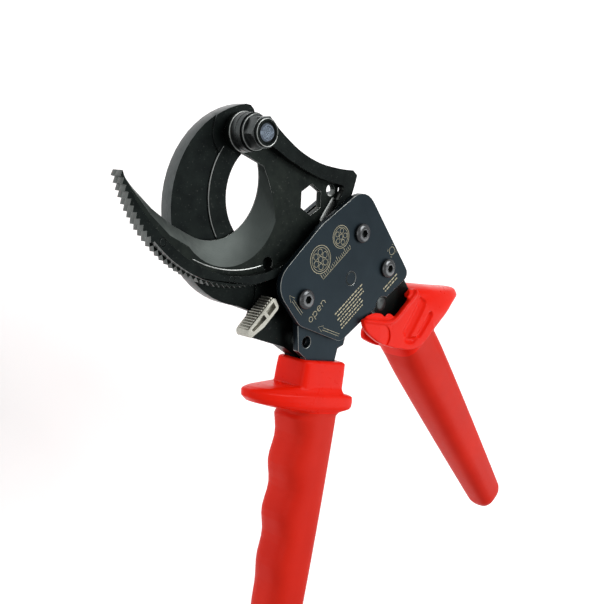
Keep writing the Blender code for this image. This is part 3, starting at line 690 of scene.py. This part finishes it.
def make_marks():
    """Plain marks in gold line: cables' cross-sections, a rule, rows of dashes, arrows, a word."""
    text_turn = 47.0
    marks = cable_end((51.2, -48.6), 6.6, 6, text_turn) + cable_end((62.4, -36.6), 5.4, 5, 20.0)
    rule = (54.6, -57.2)
    for i in range(19):
        tick = 2.6 if i % 5 == 0 else 1.5
        base = placed([(i * 1.25, 0.0), (i * 1.25, tick)], rule, text_turn)
        marks.append(ribbon(base, 0.2))
    marks.append(ribbon(placed([(0.0, -0.5), (22.5, -0.5)], rule, text_turn), 0.2))
    rows = random.Random(4)
    for origin, count, length in (((66.5, -73.6), 6, 25.0), ((98.6, -58.6), 2, 15.0)):
        for row in range(count):
            x = rows.uniform(0.0, 1.5)
            while x < length - rows.uniform(0.0, 5.0) - row * 1.2:
                dash = rows.uniform(0.6, 2.4)
                line = placed([(x, row * -1.75), (x + dash, row * -1.75)], origin, 45.5)
                marks.append(ribbon(line, 0.62))
                x += dash + 0.55
    marks.append(arrow((44.6, -74.6), 141.0, 12.5))
    marks.append(arrow((71.8, -82.9), 169.0, 15.5))
    badge = (100.6, -38.8)
    for turn in (0, 90, 180, 270):
        marks.append(ribbon(placed([(1.8, 2.6), (2.6, 1.8)], badge, turn - 42), 0.2))
    marks.append(ribbon(arc(badge, 2.0, 0, 340, 18), 0.2, closed=True))
    marks += stroke_letters((52.0, -77.4), 52.0, 2.4)
    marks = join("front_plate_marks", marks)
    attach(marks, "fixed_side")


def make_screw(node):
    """Button-head screw with a hexagon socket and a turned shank."""
    place = node_middle(node)
    low, top = node_heights(node)
    base = PLATE_TOP + 0.3
    profile = [(0.2, top)]
    for i in range(9):
        angle = math.radians(90 - i * 10)
        reach = 2.3 + 2.35 * math.cos(angle)
        profile.append((reach, base + 0.75 + (top - base - 0.75) * math.sin(angle)))
    profile += [(4.72, base + 0.6), (4.6, base), (2.45, base), (2.45, low + 0.3), (2.2, low), (0.2, low)]
    screw = turned(node + "_turned", place, profile, BRIGHT, BLACK)
    socket = prism("socket", arc(place, 1.95, 12.0, 312.0, 5), top - 1.7, top + 2.0, BLACK)
    cut(screw, socket)
    use(screw, "BEVEL", width=0.1 * UNIT, segments=2, limit_method="ANGLE", angle_limit=0.6)
    rounded_shading(applied(screw), 35)
    reach = top + MIDDLE - 0.35

    # The socket's inside is painted black: painted shade in the recess.
    def inside_socket(center, normal):
        near = math.hypot(center.x - place[0], center.y - place[1]) < 1.9
        return 1 if near and center.z < reach and center.z > reach - 1.6 else 0

    repaint(screw, inside_socket)
    keep(screw, node)


def make_plates():
    for node in ("front_side_plate", "rear_side_plate"):
        keep(machined(node, 0.55, BLUED, BLUED, BARE_EDGE_AND_PAINTED_HIGHLIGHT), node)
    keep(machined("fixed_handle_strap", 0.3, BLUED, BLUED, BARE_EDGE_AND_PAINTED_HIGHLIGHT), "fixed_handle_strap")
    for name in ("upper", "handle", "pawl"):
        make_screw(name + "_screw")
        keep(machined(name + "_nut", 0.3, BRIGHT, BRIGHT, BARE_EDGE_AND_PAINTED_HIGHLIGHT), name + "_nut")
    keep(machined("strap_pin", 0.2, BLUED, BLUED, WALL), "strap_pin")
    make_marks()


# --- pawls, lever, channel --------------------------------------------------------------------
def make_lever():
    lever = machined("release_lever", 0.55, NICKEL, NICKEL, NICKEL, steps=4)
    low, high = node_heights("release_lever")
    start, end = Vector((27.2, -68.7)), Vector((15.6, -84.2))
    way = (end - start).normalized()
    out = Vector((way.y, -way.x))
    ribs = [lever]
    count = 13
    for i in range(count):
        spot = start.lerp(end, (i + 0.5) / count) + out * 0.25
        half = (end - start).length / count * 0.3
        ring = []
        for turn in range(0, 360, 30):
            c, s = math.cos(math.radians(turn)), math.sin(math.radians(turn))
            ring.append(tuple(spot + way * half * c + out * 0.6 * s))
        ribs.append(prism("rib", ring, low + 0.7, high - 0.5, NICKEL))
    lever = rounded_shading(join("release_lever_ribbed", ribs), 35)
    keep(lever, "release_lever")


def make_steel_inside():
    keep(machined("moving_handle_channel", 0.3, BLACK, BLACK, WALL), "moving_handle_channel")
    keep(machined("drive_pawl", 0.35, WALL, WALL, BARE_EDGE_AND_PAINTED_HIGHLIGHT), "drive_pawl")
    keep(machined("holding_pawl", 0.3, BLACK, BLACK, BARE_EDGE_AND_PAINTED_HIGHLIGHT), "holding_pawl")
    low, high = node_heights("drive_pawl_pin")
    washer_r = 3.4
    profile = [(0.2, high + 0.3), (3.0, high + 0.3), (washer_r, high + 0.1), (washer_r, high)]
    profile += [(2.4, high), (2.4, low + 0.3), (2.1, low), (0.2, low)]
    pin = turned("drive_pawl_pin_turned", node_middle("drive_pawl_pin"), profile, WALL)
    keep(rounded_shading(pin), "drive_pawl_pin")
    turned_parts = ("upper_sleeve", "handle_sleeve", "pawl_sleeve", "tang_rivet_upper", "tang_rivet_lower")
    springs = ("handle_return_spring", "drive_pawl_spring", "holding_pawl_spring")
    for nodes, material in ((turned_parts, BRIGHT), (springs, SPRING)):
        for node in nodes:
            materials = frame["nodes"][node].data.materials
            materials.clear()
            materials.append(material)


# --- grips ------------------------------------------------------------------------------------
def oval(left, right, depth, left_power, right_power, count=72):
    """A squarish oval: half widths to either side, and a half depth."""
    ring = []
    for i in range(count):
        turn = 2 * math.pi * (i + 0.5) / count
        c, s = math.cos(turn), math.sin(turn)
        half, power = (right, right_power) if c > 0 else (left, left_power)
        across = math.copysign(abs(c) ** (2 / power), c) * half
        ring.append((across, math.copysign(abs(s) ** (2 / power), s) * depth))
    return ring


def moulded(obj, voxel, smoothing):
    """Merges overlapping volumes and rounds every inner and outer corner, as a mould does."""
    use(obj, "REMESH", mode="VOXEL", voxel_size=voxel * UNIT)
    use(obj, "SMOOTH", factor=0.5, iterations=smoothing)
    applied(obj)
    obj.data.shade_smooth()
    return obj


def fixed_grip_rows():
    rows = [
        (-96.1, 15.6, 10.6, 9.7, 8),
        (-97.0, 17.0, 11.9, 10.6, 8),
        (-102.0, 17.3, 12.1, 10.8, 8),
        (-108.8, 17.5, 12.3, 10.8, 8),
        (-109.5, 31.0, 12.6, 11.1, 2.5, 7),
        (-110.5, 38.8, 12.9, 11.5, 2.4, 7),
        (-111.5, 41.7, 13.6, 12.1, 2.4, 7),
        (-112.1, 42.3, 17.4, 12.9, 2.4, 7),
        (-112.8, 42.5, 19.0, 13.3, 2.4, 7),
        (-115.3, 42.0, 19.6, 13.4, 2.4, 7),
        (-117.6, 38.6, 19.5, 13.3, 2.5, 7),
        (-119.0, 31.0, 18.4, 13.0, 2.8, 7),
        (-120.0, 22.0, 15.4, 12.5, 3.0, 5),
        (-120.7, 15.8, 13.6, 12.3, 3.0, 4),
        (-122.4, 14.4, 12.9, 12.2, 3.1),
    ]
    for i in range(27):
        y = -124.6 - i * 3.84
        share = i / 26
        fade = max(0.0, min(1.0, (y + 222.0) / 45.0))
        crest = 1.4 * math.cos((y + 147.0) / 25.0 * 2 * math.pi) * fade
        left = 14.5 - 3.2 * share + crest
        right = 12.8 + 1.8 * share - 2.6 * share**2
        rows.append((y, left, right, 12.2 - 1.8 * share, 3.2))
    rows += [(-229.0, 10.5, 11.3, 9.7, 3), (-233.8, 9.5, 10.2, 8.8, 2.8)]
    rows += [(-237.0, 7.8, 8.4, 7.0, 2.6), (-238.3, 5.4, 6.0, 4.8, 2.4)]
    return rows


def paint_grip(obj, gloss):
    """Slot 0 is the duller body, slot 1 the glossy collar and guard."""
    for part in obj.data.polygons:
        part.material_index = 1 if gloss(part.center / UNIT) else 0


def make_fixed_grip():
    rings = []
    for y, left, right, depth, *powers in fixed_grip_rows():
        ring = oval(left, right, depth, powers[0], powers[-1])
        rings.append([(FIXED_AXIS_X + a, y, d) for a, d in ring])
    grip = loft("fixed_grip_moulded", rings, RED_SATIN, RED_GLOSS)
    moulded(grip, 0.4, 2)
    outline = ((54.5, -85), (54.5, -108.6), (75.6, -108.6), (75.6, -85))
    room = prism("tang_room", outline, -7.6, 7.6, RED_GLOSS)
    ring = ((0.1, 16.0), (1.5, 16.0), (1.5, 12.4), (0.1, 12.4))
    dimple = turned("dimple", DIMPLE, ring, RED_GLOSS, steps=24)
    core = ((0.1, 17.0), (1.1, 17.0), (1.1, 12.0), (0.1, 12.0))
    cut(dimple, turned("stub", DIMPLE, core, RED_GLOSS, steps=24))
    cut(grip, room, dimple)
    grip.data.shade_smooth()
    grip.data.set_sharp_from_angle(angle=math.radians(SHARP_GRIP))
    paint_grip(grip, lambda spot: spot.y > -121.0)
    keep(grip, "fixed_handle_grip")


def moving_grip_rows():
    rows = [
        (37.1, 11.4, 11.3, 10.8, 4),
        (38.4, 12.4, 12.3, 11.9, 4),
        (44.0, 12.9, 12.7, 12.1, 4),
        (48.6, 13.1, 12.9, 12.1, 4),
        (50.6, 13.3, 13.1, 12.1, 3.8),
        (52.0, 13.4, 13.2, 12.0, 3.6),
        (56.0, 13.8, 13.5, 11.8, 3.2),
    ]
    for i in range(28):
        along = 60.0 + i * 4.4
        slim = 1.0 - 0.3 * max(0.0, (along - 66.0) / 112.0) ** 1.2
        rows.append((along, 14.0 * slim, 13.7 * slim, 11.7 * slim, 3.2))
    rows += [(HANDLE_LENGTH - 6.0, 9.5, 9.3, 8.1, 3), (HANDLE_LENGTH - 2.8, 8.6, 8.4, 7.3, 2.9)]
    rows += [(HANDLE_LENGTH - 1.0, 7.0, 6.8, 5.8, 2.7), (HANDLE_LENGTH - 0.2, 4.6, 4.4, 3.8, 2.5)]
    return rows


def handle_loft(name, rings, *materials):
    """Rings of (u, n, height) points along the moving handle."""
    turned_rings = []
    for ring in rings:
        turned_rings.append([(*along_handle(u, n), d) for u, n, d in ring])
    return loft(name, turned_rings, *materials)


def handle_prism(name, outline, low, high, *materials):
    return prism(name, [along_handle(u, n) for u, n in outline], low, high, *materials)


def handle_tube(path, height, radius, squash=1.0):
    """A round bead along (u, n) points, pulled in at both ends."""
    rings = []
    last = len(path) - 1
    for i, point in enumerate(path):
        way = (Vector(path[min(i + 1, last)]) - Vector(path[max(i - 1, 0)])).normalized()
        side = Vector((-way.y, way.x))
        size = radius * (0.45 if i in (0, last) else 1.0)
        ring = []
        for part in range(14):
            angle = 2 * math.pi * part / 14
            spot = Vector(point) + side * size * math.cos(angle)
            ring.append((spot.x, spot.y, height + size * squash * math.sin(angle)))
        rings.append(ring)
    return handle_loft("bead", rings, RED_SATIN, RED_GLOSS)


FRONT_RIM = (
    (21.8, 9.2),
    (23.5, 6.8),
    (23.7, -2.0),
    (23.7, -9.6),
    (22.8, -13.4),
    (20.2, -17.2),
    (11.1, -25.7),
    (7.9, -28.6),
)
FRONT_LOWER = (
    (9.2, -30.2),
    (14.8, -30.8),
    (24.8, -27.6),
    (34.2, -21.8),
    (39.6, -17.4),
    (44.3, -13.6),
    (48.0, -9.0),
    (50.2, -3.4),
    (50.6, 4.0),
)
REAR_RIM = (
    (31.7, 8.0),
    (32.2, 0.0),
    (33.2, -8.0),
    (33.8, -14.0),
    (35.5, -16.2),
    (38.3, -17.3),
    (42.8, -15.4),
    (47.0, -13.0),
    (49.8, -11.0),
)


def guard_pieces():
    """The volumes that the guard is moulded from: wing, two cheeks, lip, hook, tab and wavy edge."""
    wing_rows = (
        (6.3, 40.2, 15.5, 12.9),
        (11.5, 40.1, 15.6, 13.1),
        (18.0, 42.2, 13.6, 12.6),
        (25.0, 45.8, 10.3, 11.3),
        (33.0, 49.9, 6.3, 8.9),
        (38.8, 53.4, 4.3, 6.2),
        (41.2, 55.0, 3.3, 4.4),
        (42.5, 55.9, 2.0, 2.6),
    )
    rings = []
    for n, middle, half, depth in catmull(wing_rows, 3):
        rings.append([(middle + a, n, d) for a, d in oval(half, half, depth, 3.4, 3.4)])
    pieces = [handle_loft("wing", rings, RED_SATIN, RED_GLOSS)]
    top = [(50.3, 9.2), (30.2, 11.1)]
    front = catmull(FRONT_RIM + FRONT_LOWER, 5) + top
    pieces.append(handle_prism("cheek", front, MOUTH_FLOOR, GUARD_FACE, RED_SATIN, RED_GLOSS))
    rear = catmull(REAR_RIM, 5) + top
    pieces.append(handle_prism("cheek", rear, 0.05 - MOUTH_FACE, -MOUTH_FLOOR, RED_SATIN, RED_GLOSS))
    lip = [(u + 0.7, n - 0.1) for u, n in catmull(FRONT_RIM, 5)]
    pieces.append(handle_tube(lip, GUARD_FACE - 0.3, 1.0))
    tab = ((22.4, 4.6), (24.8, 4.2), (26.0, 6.2), (33.0, 6.2), (33.0, 9.9), (22.8, 9.9))
    hook = ((19.4, 5.6), (23.0, 9.6), (25.4, 9.4), (25.2, 6.0), (24.4, 2.6), (21.6, 2.2), (22.0, 4.4))
    pieces.append(handle_prism("hook", hook, MOUTH_FLOOR + 0.1, MOUTH_FLOOR + 1.5, RED_GLOSS))
    pieces.append(handle_prism("tab", tab, 7.35, MOUTH_FLOOR + 0.4, RED_GLOSS))
    wavy = (
        (23.5, -10.5),
        (20.6, -11.4),
        (18.4, -13.6),
        (18.7, -15.6),
        (15.6, -16.6),
        (12.0, -19.8),
        (9.6, -23.6),
        (8.6, -26.8),
        (12.0, -27.4),
        (24.0, -16.0),
    )
    pieces.append(handle_prism("wavy", catmull(wavy, 3), MOUTH_FLOOR + 0.1, GUARD_FACE - 1.4, RED_GLOSS))
    return pieces


def guard_grooves():
    """Tools for the hollow of the guard's front face, which leave one finger ridge inside it."""
    wide = catmull([(30.4, 11.5), (32.2, 6.5), (34.0, 0.5), (35.6, -5.5), (36.8, -11.2)], 3)
    narrow = catmull([(41.2, 12.0), (42.6, 7.0), (43.6, 1.0), (44.2, -4.0)], 3)
    lower = [(36.6, -11.6), (39.0, -11.0), (41.4, -9.4), (43.4, -6.9), (44.5, -3.8)]
    return (
        handle_tube(wide, GUARD_FACE + 0.5, 3.8, squash=0.62),
        handle_tube(narrow, GUARD_FACE + 0.2, 2.0),
        handle_tube(lower, GUARD_FACE + 0.3, 1.9),
    )


def make_moving_grip():
    rings = []
    for u, left, right, depth, power in moving_grip_rows():
        rings.append([(u, a, d) for a, d in oval(left, right, depth, power, power)])
    body = handle_loft("body", rings, RED_SATIN, RED_GLOSS)
    grip = join("moving_grip_moulded", [body, *guard_pieces()])
    moulded(grip, 0.5, 2)
    cut(grip, *guard_grooves())
    moulded(grip, 0.42, 2)
    outline = ((-10, -45), (37.7, -45), (37.7, 4.2), (-10, 4.2))
    mouth = handle_prism("mouth", outline, -MOUTH_FLOOR, MOUTH_FLOOR, RED_GLOSS)
    outline = ((-10, 4.1), (37.7, 4.1), (37.7, 9.9), (-10, 9.9))
    above = handle_prism("above", outline, -MOUTH_FLOOR, ROOM_HEIGHT, RED_GLOSS)
    inner = ((30, -11), (44, -8.9), (70, -8.2), (70, 8.2), (44, 8.8), (30, 9.6))
    hollow = handle_prism("hollow", inner, -ROOM_HEIGHT, ROOM_HEIGHT, RED_GLOSS)
    rings = []
    for height in (0.0, 4.0):
        ring = []
        for turn in range(0, 360, 10):
            u, n = polar(BOSS, BOSS_RADIUS, turn)
            slope = 0.55 * math.cos(math.radians(turn - 42.0))
            ring.append((u, n, GUARD_FACE - 0.2 - slope + height))
        rings.append(ring)
    recess = handle_loft("recess", rings, RED_SATIN)
    cut(grip, mouth, above, hollow, recess)
    grip.data.shade_smooth()
    grip.data.set_sharp_from_angle(angle=math.radians(SHARP_GRIP))
    c, s = math.cos(OPEN_ANGLE), math.sin(OPEN_ANGLE)

    def guard(spot):
        dx, dy = spot.x - HANDLE_PIVOT[0], spot.y - HANDLE_PIVOT[1]
        u, n = dx * c + dy * s, dy * c - dx * s
        return u < 51.6 or n > 14.2

    paint_grip(grip, guard)
    keep(grip, "moving_handle_grip")


# --- studio -----------------------------------------------------------------------------------
def add_light(name, kind, place, target, size, watts, color=(1, 1, 1)):
    data = bpy.data.lights.new(name, kind)
    data.energy = watts
    data.color = color
    if kind == "AREA":
        data.shape = "RECTANGLE"
        data.size, data.size_y = size
    obj = bpy.data.objects.new(name, data)
    obj.location = place
    obj.rotation_euler = (Vector(target) - Vector(place)).to_track_quat("-Z", "Y").to_euler()
    bpy.context.scene.collection.objects.link(obj)


def make_studio():
    floor = bmesh.new()
    bmesh.ops.create_grid(floor, x_segments=8, y_segments=8, size=1.6)
    bmesh.ops.translate(floor, verts=floor.verts, vec=(0.0, 0.0, -FLOOR_DROP))
    s = Shader("pale_floor", 0.0, specular=0.2)
    s.bsdf.inputs["Emission Color"].default_value = (1.0, 1.0, 1.0, 1.0)
    s.bsdf.inputs["Emission Strength"].default_value = 0.33
    tone = s.noise(30.0, 2.0)
    color = s.ramp(tone, 0.3, 0.7, (0.955, 0.955, 0.955), (0.965, 0.965, 0.965))
    pale = s.finish(color, s.span(tone, 0, 1, 0.6, 0.8))
    mesh_object("studio_floor", floor, pale)
    world = bpy.data.worlds.new("studio_world")
    world.use_nodes = True
    background = world.node_tree.nodes["Background"]
    background.inputs["Color"].default_value = (1.0, 1.0, 1.0, 1.0)
    background.inputs["Strength"].default_value = 0.5
    bpy.context.scene.world = world
    bpy.context.scene.view_settings.view_transform = "Standard"
    middle = (0.08, -0.06, 0.01)
    add_light("key", "AREA", (0.45, 0.5, 0.95), middle, (0.7, 0.5), 6.8)
    add_light("fill", "AREA", (-0.8, -0.2, 0.5), middle, (0.6, 0.8), 1.2)
    add_light("rim", "AREA", (0.7, -0.2, 0.5), middle, (0.3, 0.8), 1.2)


def make_camera():
    """A camera 45 degrees to the left of the tool's face, a little below the jaw."""
    data = bpy.data.cameras.new("camera")
    data.lens = 56.87
    data.sensor_width = 36.0
    camera = bpy.data.objects.new("camera", data)
    right = Vector((0.70082, 0.15647, 0.69597))
    up = Vector((-0.07654, 0.98651, -0.14472))
    back = Vector((-0.70922, 0.04815, 0.70334))
    camera.matrix_world = Matrix.Translation(to_m(-265.5, -48.1, 316.8)) @ Matrix(
        (right, up, back)
    ).transposed().to_4x4()
    bpy.context.scene.collection.objects.link(camera)
    bpy.context.scene.camera = camera


make_fixed_blade()
make_moving_blade()
make_pivot()
make_plates()
make_lever()
make_steel_inside()
make_fixed_grip()
make_moving_grip()
make_studio()
make_camera()
